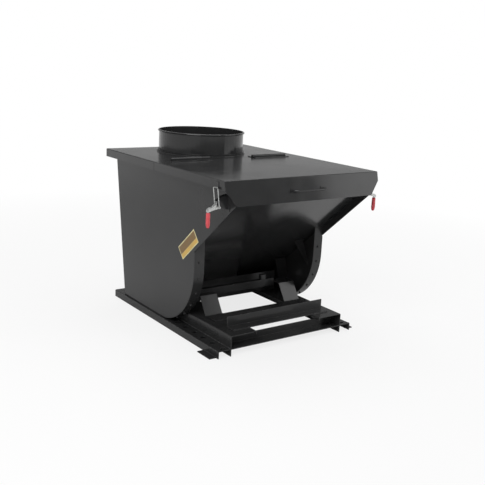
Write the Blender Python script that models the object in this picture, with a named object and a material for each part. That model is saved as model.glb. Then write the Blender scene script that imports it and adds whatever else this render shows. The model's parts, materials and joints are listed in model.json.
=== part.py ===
"""Self-dumping forklift hopper with a split lid and a round inlet collar.

Metres, +Z up. The hopper stands on z = 0 and tips towards -Y; x = 0 is its middle.
The origin is the centre of the overall box at floor level.
"""

import math

import bmesh
import bpy
from mathutils import Vector

# ---------------------------------------------------------------- driving sizes

CLEAR = 0.0003            # gap between pieces that are welded or bolted together
SHEET = 0.004             # lid sheet
PLATE = 0.005             # body plate and rails
HEAVY = 0.006             # rocker bands, legs and cross angles

# bucket
BODY_HALF_WIDTH = 0.469
ROCKER_RADIUS = 0.370
ROCKER_FRONT = -0.302     # front face of the rocker band's straight end
ROCKER_BAND = 0.0665      # width of the band along x
CORNER_RISE = 0.1178      # top of the band's straight end, above the rocker's centre
CHUTE_RISE = 0.0575       # the chute plate lies this far above the side plate's edge
CHUTE_SLOPE = math.radians(40.6)
CHUTE_TOP_RISE = 0.046    # upper end of the chute, above the side plates' tips
LIP_ANGLE_LEG = 0.024
FLOOR_GAP = 0.006         # bucket floor above the rails
PLUG_RADIUS = 0.006       # plugs at the rockers' centre of roll
REAR_FOOT_Y = 0.545       # rear wall at the bottom
REAR_LEAN = math.radians(8.5)

# rocker studs and the slots that take them
STUD_PITCH = 0.0958
STUD_PHASE = 0.054        # arc length from the resting line to the nearest front stud
STUD_RADIUS = 0.008
STUD_HEIGHT = 0.007
STUD_FIRST, STUD_LAST = -4, 6
SLOT_PLAY = 0.003
SLOT_RUN = 0.005          # half of the slot's straight length

# base rails
TRACK_HEIGHT = 0.0445
TRACK_MARGIN = 0.0117     # outer lip, beyond the bucket's side
WEB_GAP = 0.0025          # web, inside the rocker band
RAIL_TOP = 0.118
RAIL_BEND = 0.008
FORK_POCKET_WIDTH = 0.173
POCKET_LIP = 0.018        # how far the pocket's inner edge turns down
FRONT_MARGIN = 0.0292     # rail's front end, beyond the last slot
REAR_MARGIN = 0.106       # rail's rear end, behind the bucket's foot

# lids
LID_TOP = 0.983
LID_OVERHANG = 0.0645     # beyond the bucket's side
LID_FLANGE = 0.049
LID_SETBACK = 0.0166      # lid's front edge, behind the side plates' tips
REAR_OVERHANG = 0.0153    # lid's rear edge, behind the rear wall's top
SEAM_GAP = 0.003
SEAM_MARGIN = 0.074       # seam between the lids, in front of the collar
APRON_DEPTH = 0.130
APRON_RAKE = 0.030        # how far the apron's bottom edge stands forward
APRON_GAP = 0.001         # apron's foot, above the side plates' tips
RIM_PLAY = 0.0055         # between the rim angle and the outside of the lid's flange
RIM_LEG = 0.036

# inlet collar
COLLAR_SETBACK = 0.281    # collar's centre, in front of the lid's rear edge
COLLAR_RADIUS = 0.271
COLLAR_WALL = 0.003
COLLAR_HEIGHT = 0.135
COLLAR_BEAD = 0.005
COLLAR_RING = 0.012       # width of the ring welded round its foot

# lid hinges
HINGE_X = 0.290
HINGE_LENGTH = 0.264
HINGE_RADIUS = 0.008
HINGE_PIN = 0.004
HINGE_PLAY = 0.0004
KNUCKLE_GAP = 0.0006
LEAF = 0.0038
LEAF_REACH = 0.040

# toggle latches on both sides
LATCH_SETBACK = 0.0767    # behind the side plates' tips
LATCH_PIVOT_OUT = 0.062   # pivot, out from the side plate
LATCH_PIVOT_RISE = 0.010  # pivot, above the side plates' tips
LATCH_THROW = 0.020       # lever pivot to hook pivot
LATCH_PIN = 0.003
PIN_PLAY = 0.0003
LEVER_HALF = 0.0098
EAR_MID = 0.012           # middle of each ear, from the latch's own middle
HOOK_STAND = 0.011        # hook's top bar, out from the lid's flange
HOOK_WIRE = 0.003
HOOK_HALF = 0.020
KEEPER_DROP = 0.043       # keeper's upper face, below the lid's top
KEEPER_HALF = 0.012
KEEPER_REACH = 0.016
GRIP_RADIUS = 0.0105
GRIP_OUT = 0.053          # grip's middle, out from the pivot
GRIP_TOP = 0.046          # grip's ends, below the pivot
GRIP_BOTTOM = 0.126

# lid handle
HANDLE_HALF = 0.105
HANDLE_ROD = 0.006
HANDLE_STAND = 0.034
HANDLE_DOWN = 0.070       # below the lid's top, along the apron

# stop legs and cross members on the base, measured back from the rails' front end
LEG_SETBACK = 0.335
LEG_LEAN = 0.067          # how far back the leg's top stands from its foot
LEG_INSET = 0.006         # from the pocket's inner edge
LEG_WIDTH = 0.117
LEG_HEIGHT = 0.104
LEG_FLANGE = 0.085
CROSSBAR_SETBACK = 0.120  # front face of the front crossbar's upright leg
CROSSBAR_INSET = 0.004
CROSSBAR_LEG = 0.064
TIE_SETBACK = 0.013       # tie plate, in front of the legs' feet
TIE_DEPTH = 0.085
FRONT_ANGLE_DEPTH = 0.084
FRONT_ANGLE_RISE = 0.040
REAR_TIE_DEPTH = 0.060
STOP_BAR_DROP = 0.027     # stop bar's lower edge under the legs' tops
STOP_BAR_HEIGHT = 0.045
STOP_LUG_X = 0.150
STOP_LUG_SIZE = (0.036, 0.026, 0.032)
MID_ANGLE_Y = 0.0         # front face of the angle across the middle of the base
MID_ANGLE_LEG = 0.060
MID_ANGLE_RISE = 0.125
FOOT_REACH = 0.042
FOOT_LENGTH = 0.125
FOOT_SETBACK = 0.020

# stiffeners under the chute, measured back from the band's straight end
GUSSET_SETBACK = 0.117
GUSSET_REACH, GUSSET_LAND = 0.1237, 0.0537    # in from the side plate
GUSSET_DEPTH, GUSSET_TOE = 0.134, 0.179       # down from the chute
STRUT_SETBACK = 0.314
STRUT_REACH, STRUT_LAND, STRUT_FOOT = 0.1097, 0.0257, 0.0597
STRUT_DEPTH = 0.080
STRUT_LIFT = 0.016        # strut's foot, above the bucket's floor

# label plate on the left side
LABEL_SIZE = (0.082, 0.208)
LABEL_BACK, LABEL_UP = 0.069, 0.0224          # from the side plate's corner
LABEL_ANGLE = math.radians(41)
LABEL_THICKNESS = 0.001

# ---------------------------------------------------------------- worked out

ROCKER_CENTRE_Y = ROCKER_FRONT + ROCKER_RADIUS
ROCKER_CENTRE_Z = TRACK_HEIGHT + CLEAR + ROCKER_RADIUS
BAND_INNER_RADIUS = ROCKER_RADIUS - HEAVY
PLATE_RADIUS = BAND_INNER_RADIUS - CLEAR
BAND_INNER_X = BODY_HALF_WIDTH - ROCKER_BAND
STUD_X = BODY_HALF_WIDTH - ROCKER_BAND / 2
INSIDE_HALF = BODY_HALF_WIDTH - PLATE - CLEAR

BASE_FRONT = ROCKER_CENTRE_Y - STUD_PHASE - STUD_LAST * STUD_PITCH - FRONT_MARGIN
BASE_REAR = REAR_FOOT_Y + REAR_MARGIN
BASE_HALF_WIDTH = BODY_HALF_WIDTH + TRACK_MARGIN
WEB_X = BAND_INNER_X - WEB_GAP
FORK_POCKET_X = WEB_X - FORK_POCKET_WIDTH

FLOOR_Z = RAIL_TOP + FLOOR_GAP
BODY_TOP = LID_TOP - SHEET - CLEAR
EDGE_CORNER_Z = ROCKER_CENTRE_Z + CORNER_RISE
LIP_Z = LID_TOP - APRON_DEPTH - APRON_GAP
CHUTE_TOP_Z = LIP_Z + CHUTE_TOP_RISE
TAN_CHUTE = math.tan(CHUTE_SLOPE)
LIP_Y = ROCKER_FRONT - (LIP_Z - EDGE_CORNER_Z) / TAN_CHUTE

LID_HALF_WIDTH = BODY_HALF_WIDTH + LID_OVERHANG
LID_FRONT = LIP_Y + LID_SETBACK
LID_REAR = REAR_FOOT_Y + (BODY_TOP - FLOOR_Z) * math.tan(REAR_LEAN) + REAR_OVERHANG
RIM_REACH = LID_OVERHANG - RIM_PLAY
COLLAR_Y = LID_REAR - COLLAR_SETBACK
COLLAR_TOP = LID_TOP + COLLAR_HEIGHT
SEAM_Y = COLLAR_Y - COLLAR_RADIUS - SEAM_MARGIN
HINGE_Z = LID_TOP + CLEAR + HINGE_RADIUS

LATCH_Y = LIP_Y + LATCH_SETBACK
LATCH_PIVOT_Z = LIP_Z + LATCH_PIVOT_RISE
LATCH_BORE = LATCH_PIN + PIN_PLAY
HOOK_OUT = LID_OVERHANG + HOOK_STAND
KEEPER_Z = LID_TOP - KEEPER_DROP

LEG_INNER_X = FORK_POCKET_X + LEG_INSET
LEG_OUTER_X = LEG_INNER_X + LEG_WIDTH
LEG_FOOT_Y = BASE_FRONT + LEG_SETBACK
LEG_TOP_Y = LEG_FOOT_Y + LEG_LEAN
LEG_TOP_Z = RAIL_TOP + LEG_HEIGHT
CROSSBAR_Y = BASE_FRONT + CROSSBAR_SETBACK
CROSSBAR_HALF = LEG_OUTER_X - CROSSBAR_INSET
TIE_REAR_Y = LEG_FOOT_Y - TIE_SETBACK
GUSSET_Y = ROCKER_FRONT + GUSSET_SETBACK
STRUT_Y = ROCKER_FRONT + STRUT_SETBACK
LABEL_CENTRE = (ROCKER_FRONT + LABEL_BACK, EDGE_CORNER_Z + LABEL_UP)

ENAMEL = (0.045, 0.046, 0.048, 1)
ZINC = (0.72, 0.72, 0.70, 1)
VINYL = (0.62, 0.10, 0.12, 1)
YELLOW = (0.80, 0.55, 0.09, 1)


def edge_z(y):
    """Height of the side plate's sloping edge."""
    return EDGE_CORNER_Z - (y - ROCKER_FRONT) * TAN_CHUTE


def chute_z(y):
    """Height of the chute's underside."""
    return edge_z(y) + CHUTE_RISE


def chute_y(z):
    """Where the chute's underside reaches height z."""
    return ROCKER_FRONT - (z - EDGE_CORNER_Z - CHUTE_RISE) / TAN_CHUTE


def rear_y(z):
    """Outer face of the leaning rear wall at height z."""
    return REAR_FOOT_Y + (z - FLOOR_Z) * math.tan(REAR_LEAN)


# ---------------------------------------------------------------- modelling tools


def clear_scene():
    for obj in list(bpy.data.objects):
        bpy.data.objects.remove(obj, do_unlink=True)


def material(name, colour, roughness, metallic):
    mat = bpy.data.materials.new(name)
    mat.use_nodes = True
    shader = mat.node_tree.nodes["Principled BSDF"]
    shader.inputs["Base Color"].default_value = colour
    shader.inputs["Roughness"].default_value = roughness
    shader.inputs["Metallic"].default_value = metallic
    return mat


def enamel(name):
    return material(name + "_enamel", ENAMEL, 0.28, 0.0)


def zinc(name):
    return material(name + "_zinc", ZINC, 0.30, 1.0)


PLANES = {
    "x": lambda level, point: (level, point[0], point[1]),
    "y": lambda level, point: (point[0], level, point[1]),
    "z": lambda level, point: (point[0], point[1], level),
}


def prism(outline, axis, low, high):
    """The outline, given in the plane across axis, extruded from low to high."""
    bm = bmesh.new()
    place = PLANES[axis]
    start = [bm.verts.new(place(low, point)) for point in outline]
    end = [bm.verts.new(place(high, point)) for point in outline]
    bm.faces.new(start)
    bm.faces.new(reversed(end))
    count = len(outline)
    for i in range(count):
        j = (i + 1) % count
        bm.faces.new((start[j], start[i], end[i], end[j]))
    bmesh.ops.recalc_face_normals(bm, faces=bm.faces)
    return bm


def block(x, y, z):
    return prism([(x[0], y[0]), (x[1], y[0]), (x[1], y[1]), (x[0], y[1])], "z", *z)


def circle(centre, radius, count, start=0.0, sweep=2 * math.pi):
    """Points on a circle; a part sweep includes both of its ends."""
    steps = count if abs(sweep) >= 2 * math.pi else count - 1
    return [
        (
            centre[0] + radius * math.cos(start + sweep * i / steps),
            centre[1] + radius * math.sin(start + sweep * i / steps),
        )
        for i in range(count)
    ]


def rod(axis, centre, radius, low, high, count=16):
    return prism(circle(centre, radius, count), axis, low, high)


def lathe(profile, centre, count):
    """A closed (radius, z) profile turned round the upright line at centre."""
    bm = bmesh.new()
    rings = []
    for i in range(count):
        turn = 2 * math.pi * i / count
        rings.append([
            bm.verts.new((
                centre[0] + radius * math.cos(turn),
                centre[1] + radius * math.sin(turn),
                z,
            ))
            for radius, z in profile
        ])
    for i in range(count):
        ring, following = rings[i], rings[(i + 1) % count]
        for j in range(len(profile)):
            k = (j + 1) % len(profile)
            bm.faces.new((ring[j], following[j], following[k], ring[k]))
    bmesh.ops.recalc_face_normals(bm, faces=bm.faces)
    return bm


def round_tube(points, radius, count=10):
    """A closed round bar along a chain of points, mitred at each bend."""
    path = [Vector(p) for p in points]
    bm = bmesh.new()
    rings = []
    side = None
    for i, here in enumerate(path):
        before = (here - path[i - 1]).normalized() if i else None
        after = (path[i + 1] - here).normalized() if i + 1 < len(path) else None
        along = ((before or after) + (after or before)).normalized()
        if side is None:
            guide = Vector((0, 0, 1)) if abs(along.z) < 0.9 else Vector((1, 0, 0))
            side = along.cross(guide).normalized()
        side = (side - along * side.dot(along)).normalized()
        up = along.cross(side)
        stretch = 1.0
        bend = None
        if before and after and before.dot(after) < 0.9999:
            stretch = 1 / math.cos(before.angle(after) / 2)
            bend = (before - after).normalized()
        ring = []
        for j in range(count):
            turn = 2 * math.pi * j / count
            offset = (side * math.cos(turn) + up * math.sin(turn)) * radius
            if bend is not None:
                offset += bend * offset.dot(bend) * (stretch - 1)
            ring.append(bm.verts.new(here + offset))
        rings.append(ring)
    bm.faces.new(rings[0])
    bm.faces.new(reversed(rings[-1]))
    for ring, following in zip(rings, rings[1:]):
        for j in range(count):
            k = (j + 1) % count
            bm.faces.new((ring[k], ring[j], following[j], following[k]))
    bmesh.ops.recalc_face_normals(bm, faces=bm.faces)
    return bm


def scratch_object(bm):
    mesh = bpy.data.meshes.new("scratch")
    bm.to_mesh(mesh)
    bm.free()
    obj = bpy.data.objects.new("scratch", mesh)
    bpy.context.scene.collection.objects.link(obj)
    return obj


def combine(base, tools, operation):
    """Joins the tools to the base body, or cuts them from it, as one closed mesh."""
    body = scratch_object(base)
    cutters = [scratch_object(tool) for tool in tools]
    for cutter in cutters:
        modifier = body.modifiers.new("combine", "BOOLEAN")
        modifier.operation = operation
        modifier.solver = "EXACT"
        modifier.object = cutter
    graph = bpy.context.evaluated_depsgraph_get()
    graph.update()
    result = bmesh.new()
    result.from_mesh(body.evaluated_get(graph).to_mesh())
    for obj in [body, *cutters]:
        bpy.data.objects.remove(obj, do_unlink=True)
    return result


def union(base, *tools):
    return combine(base, tools, "UNION")


def cut(base, *tools):
    return combine(base, tools, "DIFFERENCE")


def part(name, bm, mat, pivot=None, smooth=False):
    """Makes the node, with its origin on its pivot empty where it has one."""
    if pivot is not None:
        bmesh.ops.translate(bm, verts=bm.verts, vec=-pivot.location)
    mesh = bpy.data.meshes.new(name)
    bm.to_mesh(mesh)
    bm.free()
    if smooth:
        mesh.shade_smooth()
        mesh.set_sharp_from_angle(angle=math.radians(35))
    mesh.materials.append(mat)
    obj = bpy.data.objects.new(name, mesh)
    bpy.context.scene.collection.objects.link(obj)
    obj.parent = pivot
    return obj


def pivot_empty(name, location):
    empty = bpy.data.objects.new(name, None)
    empty.location = location
    empty.empty_display_size = 0.05
    bpy.context.scene.collection.objects.link(empty)
    return empty


def mirrored(outline, side):
    return [(side * x, z) for x, z in outline]


SIDES = (("left", -1), ("right", 1))


def span(side, inner, outer):
    """The x range between two distances from the middle, on one side."""
    return (inner, outer) if side > 0 else (-outer, -inner)


# ---------------------------------------------------------------- base


def stud_steps():
    return [STUD_PHASE + k * STUD_PITCH for k in range(STUD_FIRST, STUD_LAST + 1)]


def slot_outline(x, y):
    """A slot across the track, rounded at both ends."""
    half_width = STUD_RADIUS + SLOT_PLAY
    right = circle((x + SLOT_RUN, y), half_width, 7, -math.pi / 2, math.pi)
    left = circle((x - SLOT_RUN, y), half_width, 7, math.pi / 2, math.pi)
    return right + left


def rail(label, side):
    """Outer lip, slotted track, web down to the floor and the fork pocket's roof."""
    t = PLATE
    corner = circle((WEB_X - RAIL_BEND, RAIL_TOP - RAIL_BEND), RAIL_BEND, 4, 0, math.pi / 2)
    outline = [
        (BASE_HALF_WIDTH, 0), (BASE_HALF_WIDTH, TRACK_HEIGHT), (WEB_X, TRACK_HEIGHT),
        *corner,
        (FORK_POCKET_X, RAIL_TOP), (FORK_POCKET_X, RAIL_TOP - POCKET_LIP),
        (FORK_POCKET_X + t, RAIL_TOP - POCKET_LIP), (FORK_POCKET_X + t, RAIL_TOP - t),
        (WEB_X - t, RAIL_TOP - t), (WEB_X - t, 0), (WEB_X, 0),
        (WEB_X, TRACK_HEIGHT - t), (BASE_HALF_WIDTH - t, TRACK_HEIGHT - t),
        (BASE_HALF_WIDTH - t, 0),
    ]
    body = prism(mirrored(outline, side), "y", BASE_FRONT, BASE_REAR)
    slots = [
        prism(slot_outline(side * STUD_X, ROCKER_CENTRE_Y - step), "z",
              TRACK_HEIGHT - 2 * t, TRACK_HEIGHT + t)
        for step in stud_steps()
    ]
    name = "rail_" + label
    return part(name, cut(body, *slots), enamel(name))


def angle_bar(name, half_length, corner, foot, upright, thickness=HEAVY):
    """An angle along x. corner is the (y, z) of its outer corner; foot and upright
    are its two legs, signed along y and z."""
    y, z = corner
    ty = math.copysign(thickness, foot)
    tz = math.copysign(thickness, upright)
    outline = [
        (y, z), (y + foot, z), (y + foot, z + tz),
        (y + ty, z + tz), (y + ty, z + upright), (y, z + upright),
    ]
    return part(name, prism(outline, "x", -half_length, half_length), enamel(name))


def stop_bar(corner):
    """An angle between the stop legs, its left end carried over the left leg's top."""
    front, top = corner
    name = "stop_bar"
    outline = [
        (front, top), (front + CROSSBAR_LEG / 2, top),
        (front + CROSSBAR_LEG / 2, top - HEAVY), (front + HEAVY, top - HEAVY),
        (front + HEAVY, top - STOP_BAR_HEIGHT), (front, top - STOP_BAR_HEIGHT),
    ]
    end = LEG_INNER_X - CLEAR
    over = block((-LEG_OUTER_X, -end + HEAVY), (front, front + CROSSBAR_LEG / 2),
                 (LEG_TOP_Z + CLEAR, top))
    return part(name, union(prism(outline, "x", -end, end), over), enamel(name))


def cross_members():
    inside = WEB_X - PLATE - CLEAR
    lower = TRACK_HEIGHT - HEAVY
    angle_bar("front_cross_angle", inside, (BASE_FRONT + FRONT_ANGLE_DEPTH, lower),
              -FRONT_ANGLE_DEPTH, FRONT_ANGLE_RISE + HEAVY)
    deck = RAIL_TOP + CLEAR
    angle_bar("front_crossbar", CROSSBAR_HALF, (CROSSBAR_Y + HEAVY, deck),
              -CROSSBAR_LEG, CROSSBAR_LEG)
    stop_top = LEG_TOP_Z - STOP_BAR_DROP + STOP_BAR_HEIGHT
    stop_front = LEG_TOP_Y + LEG_FLANGE - CROSSBAR_LEG / 2
    stop_bar((stop_front, stop_top))
    angle_bar("mid_cross_angle", CROSSBAR_HALF, (MID_ANGLE_Y, deck),
              MID_ANGLE_LEG, MID_ANGLE_RISE)
    name = "rear_cross_tie"
    rear = block((-inside, inside), (BASE_REAR - REAR_TIE_DEPTH, BASE_REAR), (0, HEAVY))
    part(name, rear, enamel(name))
    name = "leg_tie_plate"
    tie = block((-LEG_OUTER_X, LEG_OUTER_X), (TIE_REAR_Y - TIE_DEPTH, TIE_REAR_Y),
                (deck, deck + HEAVY))
    part(name, tie, enamel(name))
    name = "stop_lug"
    wide, deep, high = STOP_LUG_SIZE
    foot = stop_top + CLEAR
    lug = block((STOP_LUG_X - wide / 2, STOP_LUG_X + wide / 2), (stop_front, stop_front + deep),
                (foot, foot + high))
    part(name, lug, enamel(name))


def stop_leg(label, side):
    """A leaning plate on the rail, folded back along its top."""
    deck = RAIL_TOP + CLEAR
    lean = math.atan2(LEG_TOP_Y - LEG_FOOT_Y, LEG_TOP_Z - deck)
    along_y = HEAVY / math.cos(lean)
    fold = HEAVY * math.tan(lean)
    outline = [
        (LEG_FOOT_Y, deck), (LEG_TOP_Y, LEG_TOP_Z),
        (LEG_TOP_Y + LEG_FLANGE, LEG_TOP_Z), (LEG_TOP_Y + LEG_FLANGE, LEG_TOP_Z - HEAVY),
        (LEG_TOP_Y + along_y - fold, LEG_TOP_Z - HEAVY), (LEG_FOOT_Y + along_y, deck),
    ]
    name = "stop_leg_" + label
    low, high = span(side, LEG_INNER_X, LEG_OUTER_X)
    return part(name, prism(outline, "x", low, high), enamel(name))


def foot_plate(label, side):
    name = "foot_plate_" + label
    inner = BASE_HALF_WIDTH + CLEAR
    front = BASE_FRONT + FOOT_SETBACK
    plate = block(span(side, inner, inner + FOOT_REACH), (front, front + FOOT_LENGTH),
                  (0, HEAVY))
    return part(name, plate, enamel(name))


# ---------------------------------------------------------------- bucket


def rocker_arc(radius, count):
    """From the resting line round to the straight front, as (y, z) points."""
    centre = (ROCKER_CENTRE_Y, ROCKER_CENTRE_Z)
    return circle(centre, radius, count, -math.pi / 2, -math.pi / 2)


def side_plate(label, side):
    front = ROCKER_CENTRE_Y - PLATE_RADIUS
    low = ROCKER_CENTRE_Z - PLATE_RADIUS
    outline = [
        (rear_y(BODY_TOP), BODY_TOP), (rear_y(low), low),
        *rocker_arc(PLATE_RADIUS, 17),
        (front, edge_z(front)), (LIP_Y, LIP_Z),
        (LIP_Y + 0.028, LIP_Z + 0.070), (LIP_Y + 0.062, BODY_TOP),
    ]
    name = "side_plate_" + label
    low_x, high_x = span(side, BODY_HALF_WIDTH - PLATE, BODY_HALF_WIDTH)
    body = prism(outline, "x", low_x, high_x)
    hole = rod("x", (ROCKER_CENTRE_Y, ROCKER_CENTRE_Z), PLUG_RADIUS + CLEAR,
               low_x - PLATE, high_x + PLATE)
    return part(name, cut(body, hole), enamel(name))


def chute_floor():
    """The bucket's bent bottom: the sloping chute and the flat floor behind it."""
    thick = PLATE
    rise = thick / math.cos(CHUTE_SLOPE)
    knee = chute_y(FLOOR_Z)
    inner_knee = knee + (rise - thick) / TAN_CHUTE
    back = rear_y(FLOOR_Z) - PLATE / math.cos(REAR_LEAN) - CLEAR
    front = chute_y(CHUTE_TOP_Z)
    outline = [
        (front, CHUTE_TOP_Z), (knee, FLOOR_Z), (back, FLOOR_Z), (back, FLOOR_Z + thick),
        (inner_knee, FLOOR_Z + thick), (front, CHUTE_TOP_Z + rise),
    ]
    name = "chute_floor"
    return part(name, prism(outline, "x", -INSIDE_HALF, INSIDE_HALF), enamel(name))


def lip_angle():
    """Stiffener between the side plates' front tips, under the apron."""
    leg = LIP_ANGLE_LEG
    return angle_bar("lip_angle", INSIDE_HALF, (LIP_Y + 0.002, LIP_Z + 0.001), leg, leg, PLATE)


def rear_wall():
    run = PLATE / math.cos(REAR_LEAN)
    outline = [
        (rear_y(FLOOR_Z), FLOOR_Z), (rear_y(BODY_TOP), BODY_TOP),
        (rear_y(BODY_TOP) - run, BODY_TOP), (rear_y(FLOOR_Z) - run, FLOOR_Z),
    ]
    name = "rear_wall"
    return part(name, prism(outline, "x", -INSIDE_HALF, INSIDE_HALF), enamel(name))


def stud(side, step):
    """One stud, proud of the band, at this arc length from the resting line."""
    quarter = ROCKER_RADIUS * math.pi / 2
    angle = max(0.0, min(step, quarter)) / ROCKER_RADIUS
    base = (ROCKER_CENTRE_Y - ROCKER_RADIUS * math.sin(angle),
            ROCKER_CENTRE_Z - ROCKER_RADIUS * math.cos(angle))
    if step < 0:
        base = (ROCKER_CENTRE_Y - step, base[1])
    elif step > quarter:
        base = (base[0], ROCKER_CENTRE_Z + step - quarter)
    out = (-math.sin(angle), -math.cos(angle))
    bm = rod("z", (0, 0), STUD_RADIUS, -HEAVY / 2, STUD_HEIGHT, 12)
    top = [v for v in bm.verts if v.co.z > 0]
    for vert in top:
        vert.co.x *= 0.75
        vert.co.y *= 0.75
    for vert in bm.verts:
        x, across, proud = vert.co
        vert.co = (
            side * STUD_X + x,
            base[0] + out[0] * proud + across * out[1],
            base[1] + out[1] * proud - across * out[0],
        )
    bmesh.ops.recalc_face_normals(bm, faces=bm.faces)
    return bm


def rocker(label, side):
    """The band that the bucket rolls on, with its studs."""
    top = chute_z(ROCKER_FRONT) - 2 * CLEAR
    inner_front = ROCKER_CENTRE_Y - BAND_INNER_RADIUS
    rear = rear_y(ROCKER_CENTRE_Z - ROCKER_RADIUS)
    outline = [
        (rear, ROCKER_CENTRE_Z - ROCKER_RADIUS), *rocker_arc(ROCKER_RADIUS, 25),
        (ROCKER_FRONT, top), (inner_front, chute_z(inner_front) - 2 * CLEAR),
        *reversed(rocker_arc(BAND_INNER_RADIUS, 25)),
        (rear, ROCKER_CENTRE_Z - BAND_INNER_RADIUS),
    ]
    low, high = span(side, BAND_INNER_X, BODY_HALF_WIDTH)
    studs = [stud(side, step) for step in stud_steps()]
    shoulder = edge_z(inner_front) - CLEAR
    notch = block(span(side, INSIDE_HALF, BODY_HALF_WIDTH + PLATE),
                  (ROCKER_FRONT - PLATE, inner_front + PLATE), (shoulder, top + PLATE))
    name = "rocker_" + label
    band = cut(prism(outline, "x", low, high), notch)
    return part(name, union(band, *studs), enamel(name), smooth=True)


def braces(label, side):
    """The gusset and the strut between the underside of the chute and the side plate."""
    name = "chute_gusset_" + label
    top = chute_z(GUSSET_Y + HEAVY) - 2 * CLEAR
    outline = [
        (INSIDE_HALF - GUSSET_REACH, top), (INSIDE_HALF - GUSSET_LAND, top),
        (INSIDE_HALF, top - GUSSET_DEPTH), (INSIDE_HALF, top - GUSSET_TOE),
    ]
    part(name, prism(mirrored(outline, side), "y", GUSSET_Y, GUSSET_Y + HEAVY), enamel(name))
    name = "chute_strut_" + label
    top = chute_z(STRUT_Y + HEAVY) - 2 * CLEAR
    foot = FLOOR_Z + STRUT_LIFT
    outline = [
        (INSIDE_HALF - STRUT_REACH, top), (INSIDE_HALF - STRUT_LAND, top),
        (INSIDE_HALF, top - STRUT_DEPTH), (INSIDE_HALF, foot), (INSIDE_HALF - STRUT_FOOT, foot),
    ]
    part(name, prism(mirrored(outline, side), "y", STRUT_Y, STRUT_Y + HEAVY), enamel(name))


def rim_angles():
    """Angles round the top edge, which the lids rest on."""
    front = LIP_Y + 0.075
    top = BODY_TOP
    rear_start = rear_y(top) + CLEAR
    for label, side in SIDES:
        name = "rim_angle_" + label
        inner = BODY_HALF_WIDTH + CLEAR
        outline = [
            (inner, top), (inner + RIM_REACH, top), (inner + RIM_REACH, top - PLATE),
            (inner + PLATE, top - PLATE), (inner + PLATE, top - RIM_LEG), (inner, top - RIM_LEG),
        ]
        bm = prism(mirrored(outline, side), "y", front, rear_start - 0.004)
        part(name, bm, enamel(name))


# ---------------------------------------------------------------- lids


def lid_sheet(front, rear):
    return block((-LID_HALF_WIDTH, LID_HALF_WIDTH), (front, rear), (LID_TOP - SHEET, LID_TOP))


def lid_flank(side, front, rear, foot_front):
    """A side flange; its front end follows the raked apron."""
    low = LID_TOP - LID_FLANGE
    outline = [(front, LID_TOP), (rear, LID_TOP), (rear, low), (foot_front, low)]
    x = span(side, LID_HALF_WIDTH - SHEET, LID_HALF_WIDTH)
    return prism(outline, "x", *x)


def rear_lid():
    front = SEAM_Y + SEAM_GAP / 2
    sheet = lid_sheet(front, LID_REAR)
    flanks = [lid_flank(side, front, LID_REAR, front) for _, side in SIDES]
    back = block((-LID_HALF_WIDTH, LID_HALF_WIDTH), (LID_REAR - SHEET, LID_REAR),
                 (LID_TOP - LID_FLANGE, LID_TOP))
    tray = union(sheet, *flanks, back)
    hole = rod("z", (0, COLLAR_Y), COLLAR_RADIUS + CLEAR, LID_TOP - 0.02, LID_TOP + 0.02, 64)
    name = "rear_lid"
    return part(name, cut(tray, hole), enamel(name), smooth=True)


def front_lid(pivot):
    rear = SEAM_Y - SEAM_GAP / 2
    rake = APRON_RAKE / APRON_DEPTH
    sheet = lid_sheet(LID_FRONT, rear)
    flanks = [lid_flank(side, LID_FRONT, rear, LID_FRONT - rake * LID_FLANGE)
              for _, side in SIDES]
    foot = LID_TOP - APRON_DEPTH
    corner = LID_TOP - LID_FLANGE
    outline = [
        (-LID_HALF_WIDTH, LID_TOP), (LID_HALF_WIDTH, LID_TOP), (LID_HALF_WIDTH, corner),
        (BODY_HALF_WIDTH, foot), (-BODY_HALF_WIDTH, foot), (-LID_HALF_WIDTH, corner),
    ]
    apron = prism(outline, "y", 0, SHEET)
    for vert in apron.verts:
        vert.co.y += LID_FRONT - rake * (LID_TOP - vert.co.z)
    name = "front_lid"
    return part(name, union(sheet, *flanks, apron), enamel(name), pivot)


def inlet_collar():
    r = COLLAR_RADIUS
    name = "inlet_collar"
    bm = lathe(collar_profile(), (0, COLLAR_Y), 64)
    part(name, bm, enamel(name), smooth=True)
    ring = [
        (r + CLEAR, LID_TOP + CLEAR), (r + COLLAR_RING, LID_TOP + CLEAR),
        (r + COLLAR_RING, LID_TOP + CLEAR + 0.004), (r + CLEAR, LID_TOP + CLEAR + 0.010),
    ]
    name = "collar_ring"
    part(name, lathe(ring, (0, COLLAR_Y), 64), enamel(name), smooth=True)


def collar_profile():
    """The pipe's wall with a rolled bead outside its top edge."""
    r, bead = COLLAR_RADIUS, COLLAR_BEAD
    bead_z = COLLAR_TOP - bead
    roll = circle((r + bead / 2, bead_z), bead, 7, -math.pi / 2, math.pi)
    return [
        (r - COLLAR_WALL, LID_TOP - SHEET), (r, LID_TOP - SHEET),
        (r, bead_z - bead), *roll, (r - COLLAR_WALL, COLLAR_TOP),
    ]


# ---------------------------------------------------------------- lid hinges


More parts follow.
